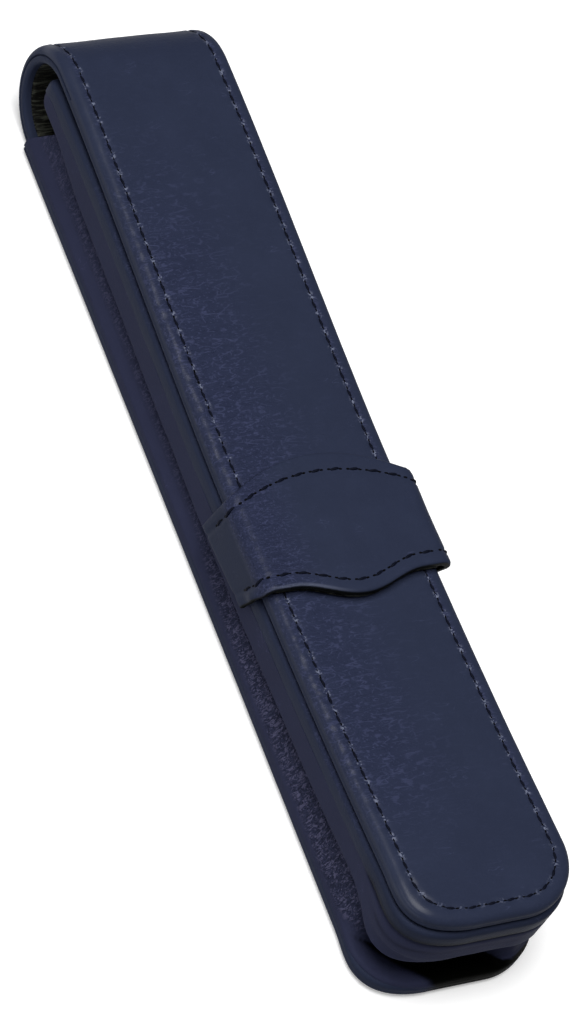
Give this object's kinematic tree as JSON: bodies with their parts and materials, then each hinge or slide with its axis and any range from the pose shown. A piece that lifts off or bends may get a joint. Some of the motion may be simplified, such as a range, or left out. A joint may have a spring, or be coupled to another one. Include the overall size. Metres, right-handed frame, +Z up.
{
  "type": "pen case",
  "caption": "Slim leather pen case with a rolled-over flap held by a stitched keeper band, a folded gusset and a turned-edge front panel.",
  "frame": {"origin": "under the middle of the case, on the surface that its back lies on", "axes": "+Z up out of the flap's face, +Y along the case towards the rolled end, +X to the right"},
  "size_m": [0.0322, 0.16, 0.0215],
  "materials": {
    "leather": "satin navy full-grain leather",
    "gusset_leather": "matt navy gusset leather",
    "lining": "dark woven lining",
    "board": "grey fibreboard"
  },
  "bodies": {
    "root": {"back_cover": "leather", "back_board": "board", "back_lining": "lining", "front_cover": "leather", "front_board": "board", "front_lining": "lining", "gusset": "gusset_leather", "keeper_band": "leather", "keeper_lining": "lining"},
    "roll_1": {"roll_cover_1": "leather", "roll_lining_1": "lining"},
    "roll_2": {"roll_cover_2": "leather", "roll_lining_2": "lining"},
    "roll_3": {"roll_cover_3": "leather", "roll_lining_3": "lining"},
    "flap": {"flap_cover": "leather", "flap_board": "board", "flap_lining": "lining"}
  },
  "joints": [
    {"name": "roll_bend_1", "type": "hinge", "parent": "root", "child": "roll_1", "pos_m": [0, 0.0701, 0], "axis": [-1, 0, 0], "range_deg": [0, 19.6]},
    {"name": "flap_open", "type": "hinge", "parent": "roll_1", "child": "roll_2", "pos_m": [0, 0.07867, 0.00495], "axis": [-1, 0, 0], "range_deg": [0, 56]},
    {"name": "roll_bend_3", "type": "hinge", "parent": "roll_2", "child": "roll_3", "pos_m": [0, 0.07867, 0.01485], "axis": [-1, 0, 0], "range_deg": [0, 56]},
    {"name": "flap_bend", "type": "hinge", "parent": "roll_3", "child": "flap", "pos_m": [0, 0.0701, 0.0198], "axis": [-1, 0, 0], "range_deg": [0, 28]}
  ],
  "couplings": [
    {"joint": "roll_bend_1", "follows": "flap_open", "ratio": 0.35},
    {"joint": "roll_bend_3", "follows": "flap_open", "ratio": 1},
    {"joint": "flap_bend", "follows": "flap_open", "ratio": 0.5}
  ]
}
